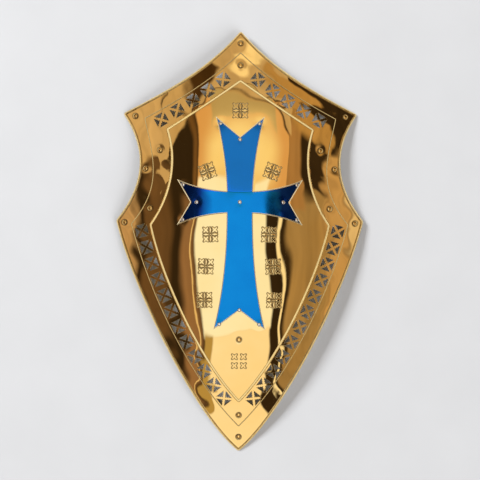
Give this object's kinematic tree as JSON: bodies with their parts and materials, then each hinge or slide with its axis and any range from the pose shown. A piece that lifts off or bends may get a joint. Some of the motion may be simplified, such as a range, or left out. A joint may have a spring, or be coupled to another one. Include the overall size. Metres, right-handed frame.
{
  "type": "heater shield",
  "caption": "Domed heater shield of polished gilt sheet with a pierced border, a raised panel, a riveted blue swallow-tailed cross and a grip behind.",
  "frame": {"origin": "on the surface that the shield lies on, under the middle of its outline", "axes": "+Z out of the face, +Y towards the top apex, X across the face"},
  "size_m": [0.389, 0.6593, 0.0492],
  "materials": {
    "gilt_sheet": "mirror-polished and lacquered",
    "gilt_rivet": "polished dome",
    "blue_lacquer": "gloss candy lacquer over bright metal",
    "silver_rivet": "polished dome",
    "grip_strip": "satin"
  },
  "bodies": {
    "root": {"back_plate": "gilt_sheet", "pierced_border": "gilt_sheet", "centre_panel": "gilt_sheet", "cross": "blue_lacquer", "grip": "grip_strip", "rim_rivet_1": "gilt_rivet", "rim_rivet_2": "gilt_rivet", "rim_rivet_3": "gilt_rivet", "rim_rivet_4": "gilt_rivet", "rim_rivet_5": "gilt_rivet", "rim_rivet_6": "gilt_rivet", "rim_rivet_7": "gilt_rivet", "rim_rivet_8": "gilt_rivet", "border_rivet_1": "gilt_rivet", "border_rivet_2": "gilt_rivet", "border_rivet_3": "gilt_rivet", "border_rivet_4": "gilt_rivet", "border_rivet_5": "gilt_rivet", "border_rivet_6": "gilt_rivet", "panel_rivet": "gilt_rivet", "cross_rivet_1": "silver_rivet", "cross_rivet_2": "silver_rivet", "cross_rivet_3": "silver_rivet", "cross_rivet_4": "silver_rivet", "cross_rivet_5": "silver_rivet", "cross_rivet_6": "silver_rivet", "cross_rivet_7": "silver_rivet", "cross_rivet_8": "silver_rivet", "cross_rivet_9": "silver_rivet", "cross_rivet_10": "silver_rivet", "cross_rivet_11": "silver_rivet", "cross_rivet_12": "silver_rivet", "cross_rivet_13": "silver_rivet"}
  },
  "joints": []
}
